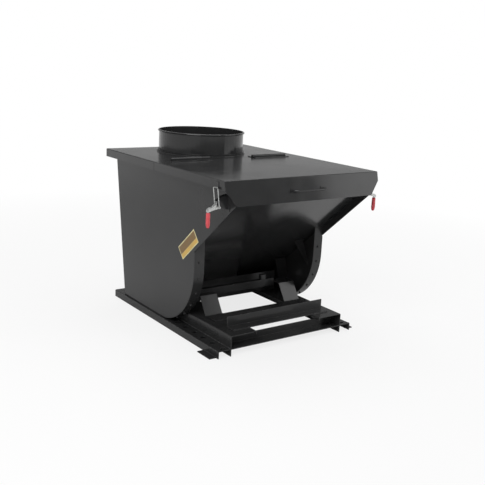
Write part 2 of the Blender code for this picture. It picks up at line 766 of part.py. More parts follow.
def hinge_leaf(name, x_mid, knuckles, toward, pivot):
    """A leaf on one lid with its knuckles; toward is +1 for the rear lid."""
    base_z = LID_TOP + CLEAR
    half = HINGE_LENGTH / 2
    near = SEAM_Y + toward * (HINGE_RADIUS + 0.001)
    far = SEAM_Y + toward * LEAF_REACH
    leaf = block((x_mid - half, x_mid + half), sorted((near, far)), (base_z, base_z + LEAF))
    pieces = []
    for low, high in knuckles:
        x = (x_mid + low * HINGE_LENGTH + KNUCKLE_GAP / 2,
             x_mid + high * HINGE_LENGTH - KNUCKLE_GAP / 2)
        pieces.append(rod("x", (SEAM_Y, HINGE_Z), HINGE_RADIUS, *x, 20))
        pieces.append(block(x, sorted((SEAM_Y, near + toward * 0.004)), (base_z, base_z + LEAF)))
    body = union(leaf, *pieces)
    bore = rod("x", (SEAM_Y, HINGE_Z), HINGE_PIN + HINGE_PLAY, x_mid - half - 0.01,
               x_mid + half + 0.01, 16)
    return part(name, cut(body, bore), enamel(name), pivot, smooth=True)


def hinge(label, side, lid_pivot):
    x_mid = side * HINGE_X
    fixed = [(-0.5, -0.3), (-0.1, 0.1), (0.3, 0.5)]
    moving = [(-0.3, -0.1), (0.1, 0.3)]
    hinge_leaf("hinge_fixed_leaf_" + label, x_mid, fixed, 1, None)
    hinge_leaf("hinge_moving_leaf_" + label, x_mid, moving, -1, lid_pivot)
    name = "hinge_pin_" + label
    half = HINGE_LENGTH / 2 + 0.002
    pin = rod("x", (SEAM_Y, HINGE_Z), HINGE_PIN, x_mid - half, x_mid + half, 16)
    part(name, pin, zinc(name), smooth=True)


def lid_handle(pivot):
    """A round bar bent to stand off the apron."""
    rake = APRON_RAKE / APRON_DEPTH
    z = LID_TOP - HANDLE_DOWN
    face = LID_FRONT - rake * HANDLE_DOWN - CLEAR
    bend = 0.012
    front = face - HANDLE_STAND
    points = [
        (-HANDLE_HALF, face - 0.002, z), (-HANDLE_HALF, front + bend, z),
        (-HANDLE_HALF + bend * 0.3, front + bend * 0.3, z), (-HANDLE_HALF + bend, front, z),
    ]
    points += [(-x, y, z) for x, y, z in reversed(points)]
    name = "lid_handle"
    pads = [
        block((x - 0.016, x + 0.016), (face - 0.003, face), (z - 0.011, z + 0.011))
        for x in (-HANDLE_HALF, HANDLE_HALF)
    ]
    for pad in pads:
        for vert in pad.verts:
            vert.co.y += rake * (vert.co.z - z)
    body = union(round_tube(points, HANDLE_ROD), *pads)
    return part(name, body, enamel(name), pivot, smooth=True)


# ---------------------------------------------------------------- toggle latches


def out_point(side, out, z):
    """A point in a latch's own plane, measured out from the side plate."""
    return (side * (BODY_HALF_WIDTH + out), z)


def pivot_point(side, out, up):
    """The same, measured from the lever's pivot."""
    return out_point(side, LATCH_PIVOT_OUT + out, LATCH_PIVOT_Z + up)


def latch_base(label, side):
    """Base plate with two ears that carry the lever's pivot."""
    face = CLEAR
    plate = block(span(side, BODY_HALF_WIDTH + face, BODY_HALF_WIDTH + face + 0.004),
                  (LATCH_Y - 0.024, LATCH_Y + 0.024),
                  (LATCH_PIVOT_Z - 0.046, LATCH_PIVOT_Z + 0.056))
    ears = []
    for where in (-1, 1):
        outline = [
            pivot_point(side, 0.002 - LATCH_PIVOT_OUT, 0.043), pivot_point(side, -0.017, 0.033),
            pivot_point(side, 0.008, 0.010), pivot_point(side, 0.008, -0.010),
            pivot_point(side, -0.012, -0.024), pivot_point(side, 0.002 - LATCH_PIVOT_OUT, -0.036),
        ]
        y = sorted(LATCH_Y + where * (EAR_MID + edge) for edge in (-0.0015, 0.0015))
        ears.append(prism(outline, "y", *y))
    bore = rod("y", out_point(side, LATCH_PIVOT_OUT, LATCH_PIVOT_Z), LATCH_BORE,
               LATCH_Y - 0.03, LATCH_Y + 0.03)
    name = "latch_base_" + label
    part(name, cut(union(plate, *ears), bore), zinc(name), smooth=True)
    pin = rod("y", out_point(side, LATCH_PIVOT_OUT, LATCH_PIVOT_Z), LATCH_PIN,
              LATCH_Y - 0.0145, LATCH_Y + 0.0145)
    name = "latch_pivot_" + label
    part(name, pin, zinc(name), smooth=True)


def latch_lever(label, side, pivot):
    """The lever, with the cross pin that carries the hook."""
    outline = [
        pivot_point(side, u, z) for u, z in (
            (-0.008, 0.008), (0.006, 0.009), (0.012, -0.004), (0.030, -0.018),
            (0.052, -0.024), (0.060, -0.032), (0.060, -0.044), (0.048, -0.040),
            (0.026, -0.034), (0.008, -0.031), (-0.007, -0.028),
        )
    ]
    body = prism(outline, "y", LATCH_Y - LEVER_HALF, LATCH_Y + LEVER_HALF)
    cross = rod("y", pivot_point(side, 0, -LATCH_THROW), LATCH_PIN,
                LATCH_Y - HOOK_HALF - 0.006, LATCH_Y + HOOK_HALF + 0.006)
    grip_x, grip_z = pivot_point(side, GRIP_OUT, -GRIP_TOP)
    shank = rod("z", (grip_x, LATCH_Y), 0.005, grip_z - 0.018, grip_z + 0.010, 12)
    bore = rod("y", pivot_point(side, 0, 0), LATCH_BORE, LATCH_Y - 0.03, LATCH_Y + 0.03)
    name = "latch_lever_" + label
    return part(name, cut(union(body, cross, shank), bore), zinc(name), pivot, smooth=True)


def latch_grip(label, side, pivot):
    """Dipped vinyl sleeve on the lever's shank."""
    r = GRIP_RADIUS
    x, top = pivot_point(side, GRIP_OUT, -GRIP_TOP)
    low = LATCH_PIVOT_Z - GRIP_BOTTOM
    profile = [
        (0.0053, top), (0.0085, top), (r, top - 0.006), (r + 0.0008, low + 0.020),
        (r - 0.002, low + 0.006), (0.004, low + 0.0005), (0.0005, low),
        (0.0005, top - 0.022), (0.0053, top - 0.020),
    ]
    name = "latch_grip_" + label
    bm = lathe(profile, (x, LATCH_Y), 16)
    return part(name, bm, material(name + "_vinyl", VINYL, 0.45, 0.0), pivot, smooth=True)


def latch_hook(label, side, pivot):
    """A bent wire loop from the lever's cross pin up over the keeper."""
    x0, z0 = out_point(side, LATCH_PIVOT_OUT, LATCH_PIVOT_Z - LATCH_THROW)
    x1, z1 = out_point(side, HOOK_OUT, KEEPER_Z + CLEAR + HOOK_WIRE)
    bend = 0.006
    start = 0.0045 / math.hypot(x1 - x0, z1 - z0)
    down = (x0 + (x1 - x0) * start, z0 + (z1 - z0) * start)
    eyes = []
    for where in (-1, 1):
        y = LATCH_Y + where * HOOK_HALF
        eye = rod("y", (x0, z0), 0.0062, y - HOOK_WIRE, y + HOOK_WIRE)
        eyes.append(eye)
    near = 1 - bend / math.hypot(x1 - x0, z1 - z0)
    shoulder = (x0 + (x1 - x0) * near, z0 + (z1 - z0) * near)
    y_low, y_high = LATCH_Y - HOOK_HALF, LATCH_Y + HOOK_HALF
    chain = [
        (down[0], y_low, down[1]), (shoulder[0], y_low, shoulder[1]),
        (x1, y_low + bend, z1), (x1, y_high - bend, z1),
        (shoulder[0], y_high, shoulder[1]), (down[0], y_high, down[1]),
    ]
    bore = rod("y", (x0, z0), LATCH_BORE, LATCH_Y - 0.03, LATCH_Y + 0.03)
    name = "latch_hook_" + label
    loop = union(round_tube(chain, HOOK_WIRE), *eyes)
    return part(name, cut(loop, bore), zinc(name), pivot, smooth=True)


def keeper(label, side, pivot):
    """The ledge on the lid's flange that the hook pulls down on."""
    inner = LID_HALF_WIDTH - BODY_HALF_WIDTH + CLEAR
    top = KEEPER_Z
    outline = [
        out_point(side, inner, LID_TOP - 0.010), out_point(side, inner + 0.003, LID_TOP - 0.010),
        out_point(side, inner + 0.003, top), out_point(side, inner + KEEPER_REACH, top),
        out_point(side, inner + KEEPER_REACH, top - 0.004), out_point(side, inner, top - 0.004),
    ]
    name = "keeper_" + label
    bm = prism(outline, "y", LATCH_Y - KEEPER_HALF, LATCH_Y + KEEPER_HALF)
    return part(name, bm, zinc(name), pivot)


# ---------------------------------------------------------------- small pieces


def centre_plug(label, side, pivot):
    """Flush plug at the rocker's centre of roll."""
    name = "centre_plug_" + label
    low, high = span(side, BODY_HALF_WIDTH - PLATE, BODY_HALF_WIDTH)
    bm = rod("x", (ROCKER_CENTRE_Y, ROCKER_CENTRE_Z), PLUG_RADIUS, low, high)
    return part(name, bm, enamel(name), pivot, smooth=True)


def label_plate():
    """Blank plate on the left side, turned to follow the chute."""
    wide, tall = LABEL_SIZE
    c, s = math.cos(LABEL_ANGLE), math.sin(LABEL_ANGLE)
    corners = [
        (-tall / 2, -wide / 2), (tall / 2, -wide / 2), (tall / 2, wide / 2), (-tall / 2, wide / 2),
    ]
    outline = [
        (LABEL_CENTRE[0] + u * c + v * s, LABEL_CENTRE[1] - u * s + v * c)
        for u, v in corners
    ]
    face = -BODY_HALF_WIDTH - CLEAR
    name = "label_plate"
    bm = prism(outline, "x", face - LABEL_THICKNESS, face)
    return part(name, bm, material("label_yellow", YELLOW, 0.4, 0.0))


def centre_on_box():
    """Moves everything along y, so that the origin is the middle of the overall box."""
    bpy.context.view_layer.update()
    meshes = [obj for obj in bpy.data.objects if obj.type == "MESH"]
    ys = [(obj.matrix_world @ vert.co).y for obj in meshes for vert in obj.data.vertices]
    shift = -(min(ys) + max(ys)) / 2
    for obj in bpy.data.objects:
        if obj.parent is None:
            obj.location.y += shift


def main():
    clear_scene()
    cross_members()
    lid_pivot = pivot_empty("lid_pivot", (0, SEAM_Y, HINGE_Z))
    roll_centre = pivot_empty("roll_centre", (0, ROCKER_CENTRE_Y, ROCKER_CENTRE_Z))
    chute_floor()
    rear_wall()
    lip_angle()
    rim_angles()
    rear_lid()
    front_lid(lid_pivot)
    inlet_collar()
    lid_handle(lid_pivot)
    label_plate()
    for label, side in SIDES:
        rail(label, side)
        stop_leg(label, side)
        foot_plate(label, side)
        side_plate(label, side)
        rocker(label, side)
        braces(label, side)
        centre_plug(label, side, roll_centre)
        hinge(label, side, lid_pivot)
        keeper(label, side, lid_pivot)
        x, z = out_point(side, LATCH_PIVOT_OUT, LATCH_PIVOT_Z)
        lever_pivot = pivot_empty("lever_pivot_" + label, (x, LATCH_Y, z))
        hook_pivot = pivot_empty("hook_pivot_" + label, (x, LATCH_Y, z - LATCH_THROW))
        latch_base(label, side)
        latch_lever(label, side, lever_pivot)
        latch_grip(label, side, lever_pivot)
        latch_hook(label, side, hook_pivot)
    centre_on_box()


main()
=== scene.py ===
"""Looks of the self-dumping hopper: enamel, zinc, vinyl, label film, folds, welds and studio.

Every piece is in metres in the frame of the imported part, +Z up, tipping towards -Y.
"""

import json
import math

import bmesh
import bpy
from mathutils import Matrix, Vector


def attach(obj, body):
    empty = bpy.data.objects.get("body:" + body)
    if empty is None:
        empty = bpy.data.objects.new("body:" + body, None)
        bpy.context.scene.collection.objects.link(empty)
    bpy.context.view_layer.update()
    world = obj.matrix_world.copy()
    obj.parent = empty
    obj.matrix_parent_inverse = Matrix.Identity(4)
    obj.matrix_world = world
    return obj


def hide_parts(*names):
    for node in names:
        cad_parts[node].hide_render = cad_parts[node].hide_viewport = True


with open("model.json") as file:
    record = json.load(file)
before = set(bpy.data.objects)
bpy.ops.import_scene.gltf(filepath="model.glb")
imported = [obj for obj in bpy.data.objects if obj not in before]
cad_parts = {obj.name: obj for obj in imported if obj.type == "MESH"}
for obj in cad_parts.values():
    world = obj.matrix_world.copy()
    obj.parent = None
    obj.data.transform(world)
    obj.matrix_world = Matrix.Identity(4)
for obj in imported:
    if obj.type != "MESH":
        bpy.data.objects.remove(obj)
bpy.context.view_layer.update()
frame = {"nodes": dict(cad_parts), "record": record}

NODES = frame["nodes"]
BODY_OF = {
    node: body
    for body, members in frame["record"]["behaviour"]["bodies"].items()
    for node in members
}
SIDES = (("left", -1), ("right", 1))

JOIN = 2e-6                         # corners nearer than this are one
FLAT = math.radians(0.6)            # faces that turn less than this are one
SLIVER = 1e-6                       # edges that a bevel leaves shorter than this are closed up
SHARP = math.radians(30)            # edges that turn more than this are rounded
BROAD = 0.02                        # a fold lies between faces at least this broad

# radii of the weld beads
LEG_BEAD = 0.0032                   # feet of the stop legs
PLATE_BEAD = 0.0026                 # cross members, foot plates, rockers
BRACE_BEAD = 0.0024                 # stop bar, gussets, struts
LUG_BEAD = 0.0022                   # stop lug, lid handle
COLLAR_BEAD = 0.0020                # both ends of the collar's ring
LEAF_BEAD = 0.0018                  # hinge leaves, latch bases
SEAM_BEAD = 0.0014                  # keepers, the collar pipe's seam
ANGLE_WELD_LIFT = 0.006             # of the bead on the front cross angle's ends
ROCKER_WELD_INSET = 0.001           # of the bead from the side plate's curved edge
ROCKER_WELD_STEPS = 24
GUSSET_LAND = 0.30                  # share of a gusset's or strut's width, on the outside, left unwelded
STRUT_WELD = 0.040                  # length of the bead up a gusset's or strut's end
COLLAR_GAP = 10                     # degrees left open on both sides of the rearmost point
COLLAR_STEPS = 120
SEAM_STOP = 0.008                   # the seam ends this far under the collar's rim
RIVET_RADIUS, RIVET_HEIGHT = 0.0050, 0.0022

LABEL_BORDER = 0.005
LABEL_GAP = 0.001                   # between the strip and the panel
LABEL_SPLIT = -0.30                 # where they meet: -1 the lower long edge, 1 the upper
FILM_FACES = (0.00005, 0.00025)     # heights of the panels' two faces over the label place

# ---------------------------------------------------------------- shader tools


class Shader:
    """A material's node tree, with short calls for the nodes used here."""

    def __init__(self, name):
        self.material = bpy.data.materials.new(name)
        self.material.use_nodes = True
        self.tree = self.material.node_tree
        self.surface = self.tree.nodes["Principled BSDF"]
        self.place = self.node("ShaderNodeTexCoord").outputs["Object"]

    def node(self, kind, **inputs):
        made = self.tree.nodes.new(kind)
        for key, value in inputs.items():
            self.feed(made.inputs[key.replace("_", " ")], value)
        return made

    def feed(self, socket, value):
        if isinstance(value, bpy.types.NodeSocket):
            self.tree.links.new(value, socket)
        else:
            socket.default_value = value

    def noise(self, scale, detail=2.0, rough=0.5, place=None):
        """Noise at so many cells a metre."""
        return self.node("ShaderNodeTexNoise", Vector=place or self.place, Scale=scale,
                         Detail=detail, Roughness=rough).outputs["Fac"]

    def band(self, value, low, high, to_low=0.0, to_high=1.0):
        """value rescaled from low..high to to_low..to_high, and held there outside."""
        made = self.node("ShaderNodeMapRange", Value=value)
        for key, number in zip(("From Min", "From Max", "To Min", "To Max"),
                               (low, high, to_low, to_high)):
            made.inputs[key].default_value = number
        return made.outputs["Result"]

    def math(self, operation, a, b):
        made = self.node("ShaderNodeMath")
        made.operation = operation
        self.feed(made.inputs[0], a)
        self.feed(made.inputs[1], b)
        return made.outputs[0]

    def mix(self, factor, a, b):
        made = self.node("ShaderNodeMix")
        made.data_type = "RGBA"
        self.feed(made.inputs["Factor"], factor)
        for socket, value in ((made.inputs[6], a), (made.inputs[7], b)):
            self.feed(socket, (*value, 1) if isinstance(value, tuple) else value)
        return made.outputs[2]

    def stretched(self, x, y, z):
        made = self.node("ShaderNodeMapping", Vector=self.place)
        made.inputs["Scale"].default_value = (x, y, z)
        return made.outputs["Vector"]

    def attribute(self, name):
        made = self.node("ShaderNodeAttribute")
        made.attribute_name = name
        return made.outputs["Fac"]

    def bump(self, height, distance, strength=1.0, under=None):
        made = self.node("ShaderNodeBump", Height=height, Distance=distance, Strength=strength)
        if under is not None:
            self.feed(made.inputs["Normal"], under)
        return made.outputs["Normal"]

    def set(self, **inputs):
        for key, value in inputs.items():
            socket = self.surface.inputs[key.replace("_", " ")]
            self.feed(socket, (*value, 1) if isinstance(value, tuple) else value)
        return self.material


# ---------------------------------------------------------------- materials

ENAMEL = (0.0215, 0.0217, 0.0222)
ENAMEL_THIN = (0.0250, 0.0252, 0.0257)
DUST = (0.105, 0.100, 0.092)
PRIMER = (0.150, 0.150, 0.155)


def enamel(name, dust=0.035, rough=0.15, wear=0.30):
    """Gloss black enamel: orange peel, long waves in the sheet, dust and rubbed edges."""
    s = Shader(name)
    drift = s.band(s.noise(2.3, 3.0), 0.35, 0.65)
    colour = s.mix(drift, ENAMEL, ENAMEL_THIN)
    film_of = s.band(s.noise(7.0, 6.0, 0.60), 0.46, 0.72)
    settled = s.math("MULTIPLY", film_of, dust)
    colour = s.mix(settled, colour, DUST)
    rubbed = s.math("MULTIPLY", s.attribute("edge"), s.band(s.noise(70.0, 5.0, 0.7), 0.52, 0.66))
    rubbed = s.math("MULTIPLY", rubbed, wear)
    colour = s.mix(rubbed, colour, PRIMER)
    gloss = s.band(s.noise(9.0, 4.0), 0.30, 0.70, rough - 0.03, rough + 0.05)
    gloss = s.math("ADD", gloss, s.math("MULTIPLY", rubbed, 0.25))
    waves = s.bump(s.noise(2.6, 1.0), 0.0030, 0.40)
    peel = s.bump(s.noise(210.0, 1.0), 0.000012, 0.30, waves)
    return s.set(Base_Color=colour, Roughness=gloss, Normal=peel, IOR=1.5,
                 Specular_IOR_Level=0.40)


def zinc(name, tone=(0.66, 0.67, 0.66), rough=0.27):
    """Bright zinc plate with spangle, fine drawing lines and dull patches."""
    s = Shader(name)
    spangle = s.noise(160.0, 2.0)
    colour = s.mix(s.band(spangle, 0.35, 0.65), tuple(0.74 * c for c in tone), tone)
    dull = s.band(s.noise(38.0, 5.0, 0.6), 0.50, 0.68)
    colour = s.mix(s.math("MULTIPLY", dull, 0.45), colour, (0.33, 0.34, 0.35))
    gloss = s.math("ADD", s.band(spangle, 0.3, 0.7, rough - 0.06, rough + 0.06),
                   s.math("MULTIPLY", dull, 0.20))
    lines = s.noise(900.0, 2.0, place=s.stretched(1.0, 0.08, 1.0))
    return s.set(Base_Color=colour, Metallic=1.0, Roughness=gloss,
                 Normal=s.bump(lines, 0.00008, 0.5))


def vinyl(name):
    """Soft red dipped vinyl, a little darker where hands have been."""
    s = Shader(name)
    hands = s.band(s.noise(34.0, 4.0), 0.42, 0.66)
    colour = s.mix(hands, (0.66, 0.075, 0.090), (0.54, 0.050, 0.066))
    gloss = s.band(s.noise(55.0, 4.0), 0.3, 0.7, 0.26, 0.42)
    skin = s.bump(s.noise(700.0, 2.0), 0.00010, 0.5)
    s.surface.inputs["Subsurface Weight"].default_value = 0.12
    s.surface.inputs["Subsurface Radius"].default_value = (0.004, 0.001, 0.001)
    return s.set(Base_Color=colour, Roughness=gloss, Normal=skin)


def film(name, tone, rough=0.34):
    """Printed film with a faint texture and faded patches."""
    s = Shader(name)
    faded = s.band(s.noise(24.0, 4.0), 0.35, 0.70)
    colour = s.mix(faded, tone, tuple(min(1.0, 0.82 * c + 0.03) for c in tone))
    gloss = s.band(s.noise(60.0, 3.0), 0.3, 0.7, rough - 0.05, rough + 0.08)
    return s.set(Base_Color=colour, Roughness=gloss,
                 Normal=s.bump(s.noise(500.0, 2.0), 0.00006, 0.4))


# ---------------------------------------------------------------- mesh tools


def clean_copy(node):
    """The node's solid with its triangles joined back into flat faces."""
    bm = bmesh.new()
    bm.from_mesh(NODES[node].data)
    bmesh.ops.remove_doubles(bm, verts=bm.verts, dist=JOIN)
    bmesh.ops.dissolve_limit(bm, angle_limit=FLAT, verts=bm.verts, edges=bm.edges)
    return bm


def finish_mesh(name, bm, material, body, smooth_angle=35):
    """Links the mesh as a piece that rides on the body."""
    mesh = bpy.data.meshes.new(name)
    bm.to_mesh(mesh)
    bm.free()
    mesh.shade_smooth()
    mesh.set_sharp_from_angle(angle=math.radians(smooth_angle))
    mesh.materials.append(material)
    obj = bpy.data.objects.new(name, mesh)
    bpy.context.scene.collection.objects.link(obj)
    even = obj.modifiers.new("even_shading", "WEIGHTED_NORMAL")
    even.keep_sharp = True
    even.weight = 100
    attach(obj, body)
    return obj


def rounded(node, material, width, fold=0.0, segments=2):
    """Stands for a CAD node: the same solid with its edges rounded.

    Edges between two broad faces are folds, and get the larger radius.
    """
    bm = clean_copy(node)
    bm.faces.ensure_lookup_table()
    edge_mark = bm.faces.layers.float.new("edge")

    def breadth(face):
        return face.calc_area() / max(e.calc_length() for e in face.edges)

    sharp = [e for e in bm.edges if len(e.link_faces) == 2
             and e.calc_face_angle(0.0) > SHARP]
    folds, cuts = [], []
    for e in sharp:
        broad = fold and min(breadth(f) for f in e.link_faces) > BROAD
        (folds if broad else cuts).append(e)
    for edges, radius, count in ((folds, fold, 4), (cuts, width, segments)):
        edges = [e for e in edges if e.is_valid]
        if not edges:
            continue
        made = bmesh.ops.bevel(bm, geom=edges, offset=radius, offset_type="OFFSET",
                               segments=count, profile=0.5, affect="EDGES",
                               clamp_overlap=True, loop_slide=True)
        for face in made["faces"]:
            face[edge_mark] = 1.0
    bmesh.ops.remove_doubles(bm, verts=bm.verts, dist=SLIVER)
    obj = finish_mesh(node + "_skin", bm, material, BODY_OF[node])
    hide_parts(node)
    return obj


class Welds:
    """The rippled beads, and the rivet heads, of one body, gathered into one mesh."""

    SIDES = 8
    PITCH = 0.0045      # between ripples
    RINGS = 3           # rings to a ripple
    RIPPLE = (1.0, 1.11, 0.90)
    DOME = ((1.0, -0.3), (1.0, 0.25), (0.82, 0.72), (0.45, 0.96))   # shares of radius and height

    def __init__(self, body):
        self.body = body
        self.bm = bmesh.new()
        self.count = 0

    def along(self, points):
        """Evenly spaced points along a polyline."""
        step = self.PITCH / self.RINGS
        places, left = [points[0]], step
        for start, end in zip(points, points[1:]):
            length = (end - start).length
            while left <= length:
                places.append(start.lerp(end, left / length))
                left += step
            left -= length
        return places

    def ring(self, centre, turn, radius, height, count):
        """So many vertices round the turned Z axis, at this height along it."""
        return [self.bm.verts.new(centre + turn @ Vector((
            radius * math.cos(2 * math.pi * k / count),
            radius * math.sin(2 * math.pi * k / count), height)))
            for k in range(count)]

    def skin(self, rings):
        """Faces between neighbouring rings, and one over each end."""
        for low, high in zip(rings, rings[1:]):
            for k in range(len(low)):
                j = (k + 1) % len(low)
                self.bm.faces.new((low[k], low[j], high[j], high[k]))
        self.bm.faces.new(reversed(rings[0]))
        self.bm.faces.new(rings[-1])

    def bead(self, points, radius):
        """A bead with its middle on the polyline, sunk half into both plates."""
        places = self.along([Vector(p) for p in points])
        self.count += 1
        rings = []
        for i, place in enumerate(places):
            ahead = places[min(i + 1, len(places) - 1)] - places[max(i - 1, 0)]
            turn = ahead.to_track_quat("Z", "Y")
            ripple = self.RIPPLE[i % self.RINGS]
            wander = 0.09 * math.sin(0.31 * i + 2.1 * self.count) * math.cos(0.083 * i)
            taper = min(1.0, 0.45 + 0.2 * min(i, len(places) - 1 - i))
            size = radius * (ripple + wander) * taper
            rings.append(self.ring(place, turn, size, 0, self.SIDES))
        self.skin(rings)

    def dome(self, centre, outward, radius, height):
        """A low rivet head on a face that looks along outward."""
        turn = Vector(outward).to_track_quat("Z", "Y")
        self.skin([self.ring(Vector(centre), turn, radius * out, height * up, 2 * self.SIDES)
                   for out, up in self.DOME])

    def make(self, name, material):
        finish_mesh(name, self.bm, material, self.body, smooth_angle=70)


# ---------------------------------------------------------------- the pieces

# radius of cut edges and of folds, by the start of the node's name
ROUNDING = {
    "rear_lid": (0.0012, 0.0045), "front_lid": (0.0012, 0.0045), "rail": (0.0010, 0.0035),
    "side_plate": (0.0012, 0.0), "rocker": (0.0012, 0.0), "chute_floor": (0.0012, 0.0),
    "rear_wall": (0.0012, 0.0), "front_crossbar": (0.0014, 0.0),
    "front_cross_angle": (0.0014, 0.0), "stop_bar": (0.0014, 0.0), "lip_angle": (0.0010, 0.0),
    "rim_angle": (0.0010, 0.0), "stop_leg": (0.0015, 0.0), "leg_tie": (0.0014, 0.0),
    "rear_cross_tie": (0.0014, 0.0), "foot_plate": (0.0014, 0.0), "chute_gusset": (0.0012, 0.0),
    "chute_strut": (0.0012, 0.0), "stop_lug": (0.0025, 0.0), "hinge_fixed": (0.0007, 0.0),
    "hinge_moving": (0.0007, 0.0), "latch_base": (0.0007, 0.0), "latch_lever": (0.0012, 0.0),
    "keeper": (0.0007, 0.0),
}


def dress_nodes():
    """Gives every CAD node but the label plate its finish, and rounds the edges of the plate work."""
    bright = zinc("bright_zinc")
    hook_zinc = zinc("wire_zinc", rough=0.20)
    plate = enamel("gloss_enamel")
    track = enamel("track_enamel", dust=0.09, rough=0.20, wear=0.45)
    grip = vinyl("red_vinyl")
    base = {node for node, body in BODY_OF.items() if body == "base"}
    for node, obj in NODES.items():
        if node == "label_plate":
            continue
        if node.startswith("latch_grip"):
            material = grip
        elif node.startswith(("latch_hook", "latch_pivot")):
            material = hook_zinc
        elif node.startswith("latch_lever"):
            material = bright
        else:
            material = track if node in base or node.startswith("rocker") else plate
        sizes = next((v for k, v in ROUNDING.items() if node.startswith(k)), None)
        if sizes:
            rounded(node, material, *sizes)
        else:
            for slot in obj.material_slots:
                slot.material = material


def extent(node):
    """Lowest and highest corner of a CAD node."""
    obj = NODES[node]
    corners = [obj.matrix_world @ Vector(c) for c in obj.bound_box]
    return (Vector(map(min, *corners)), Vector(map(max, *corners)))


def base_welds():
    """Beads on the cross members, foot plates, stop legs, stop bar and lug."""
    welds = Welds("base")
    deck_edge = extent("rail_right")[0].x
    for side in (-1, 1):
        for node in ("front_crossbar", "leg_tie_plate", "mid_cross_angle"):
            low, high = extent(node)
            for y in (low.y, high.y):
                welds.bead(((side * deck_edge, y, low.z), (side * high.x, y, low.z)), PLATE_BEAD)
        low, high = extent("front_cross_angle")
        height = low.z + ANGLE_WELD_LIFT
        welds.bead(((side * high.x, low.y, height), (side * high.x, high.y, height)), PLATE_BEAD)
    for hand, side in SIDES:
        low, high = extent("stop_leg_" + hand)
        welds.bead(((low.x, low.y, low.z), (high.x, low.y, low.z)), LEG_BEAD)
        low, high = extent("foot_plate_" + hand)
        web = side * min(abs(low.x), abs(high.x))
        welds.bead(((web, low.y, high.z), (web, high.y, high.z)), PLATE_BEAD)
    bar_low, bar_high = extent("stop_bar")
    leg_high = extent("stop_leg_left")[1]
    welds.bead(((bar_low.x, bar_low.y, leg_high.z), (leg_high.x, bar_low.y, leg_high.z)),
               BRACE_BEAD)
    welds.bead(((bar_high.x, bar_low.y, leg_high.z), (bar_high.x, bar_high.y, leg_high.z)),
               BRACE_BEAD)
    low, high = extent("stop_lug")
    welds.bead(((low.x, low.y, low.z), (high.x, low.y, low.z), (high.x, high.y, low.z)),
               LUG_BEAD)
    return welds


def hopper_welds():
    """Beads on the side plates, chute braces, latches, collar and fixed leaves, and the rivets."""
    welds = Welds("hopper")
    plug_low, plug_high = extent("centre_plug_right")
    y, z = ((plug_low + plug_high) / 2).yz
    plate_low, plate_high = extent("side_plate_right")
    radius = z - plate_low.z - ROCKER_WELD_INSET
    arc = [(y - radius * math.sin(a), z - radius * math.cos(a))
           for a in (math.pi / 2 * (1 - i / ROCKER_WELD_STEPS)
                     for i in range(ROCKER_WELD_STEPS + 1))]
    inside = plate_low.x
    for hand, side in SIDES:
        welds.bead([(side * inside, *p) for p in arc], PLATE_BEAD)
        for node in ("chute_gusset_", "chute_strut_"):
            low, high = extent(node + hand)
            inner, outer = sorted((low.x, high.x), key=abs)
            land = outer + (inner - outer) * GUSSET_LAND
            welds.bead(((inner, low.y, high.z), (land, low.y, high.z)), BRACE_BEAD)
            welds.bead(((outer, low.y, low.z), (outer, low.y, low.z + STRUT_WELD)), BRACE_BEAD)
        low, high = extent("latch_base_" + hand)
        for edge in (low.y, high.y):
            welds.bead(((side * plate_high.x, edge, low.z), (side * plate_high.x, edge, high.z)),
                       LEAF_BEAD)
        low, high = extent("latch_pivot_" + hand)
        middle = (low + high) / 2
        for end, out in ((low.y, -1), (high.y, 1)):
            welds.dome((middle.x, end, middle.z), (0, out, 0), RIVET_RADIUS, RIVET_HEIGHT)
    ring_low, ring_high = extent("collar_ring")
    collar_high = extent("inlet_collar")[1]
    middle = (ring_low + ring_high) / 2
    for radius, height in ((ring_high.x, ring_low.z), (collar_high.x, ring_high.z)):
        turn = [math.radians(COLLAR_GAP + (360 - 2 * COLLAR_GAP) * i / COLLAR_STEPS)
                for i in range(COLLAR_STEPS + 1)]
        welds.bead([(middle.x + radius * math.sin(a), middle.y + radius * math.cos(a), height)
                    for a in turn], COLLAR_BEAD)
    welds.bead(((0, collar_high.y, ring_high.z), (0, collar_high.y, collar_high.z - SEAM_STOP)),
               SEAM_BEAD)
    for hand, _ in SIDES:
        low, high = extent("hinge_fixed_leaf_" + hand)
        stitches(welds, low.x, high.x, high.y, low.z)
    return welds


def stitches(welds, start, end, y, z):
    """Three short beads along a hinge leaf's edge."""
    span = (end - start) / 7
    for i in (0, 3, 6):
        welds.bead(((start + i * span, y, z), (start + (i + 1) * span, y, z)), LEAF_BEAD)


def lid_welds():
    """Beads on the moving hinge leaves, keepers and handle."""
    welds = Welds("lid")
    for hand, side in SIDES:
        low, high = extent("hinge_moving_leaf_" + hand)
        stitches(welds, low.x, high.x, low.y, low.z)
        low, high = extent("keeper_" + hand)
        skirt = side * min(abs(low.x), abs(high.x))
        for edge in (low.y, high.y):
            welds.bead(((skirt, edge, low.z), (skirt, edge, high.z)), SEAM_BEAD)
        low, high = extent("lid_handle")
        welds.bead(((side * high.x, high.y, low.z), (side * high.x, high.y, high.z)),
                   LUG_BEAD)
    return welds


def add_welds():
    """Painted beads where the plates meet, in the enamel of the plates."""
    paint = enamel("weld_enamel", dust=0.06, rough=0.20, wear=0.0)
    for name, welds in (("base_welds", base_welds()), ("hopper_welds", hopper_welds()),
                        ("lid_welds", lid_welds())):
        welds.make(name, paint)


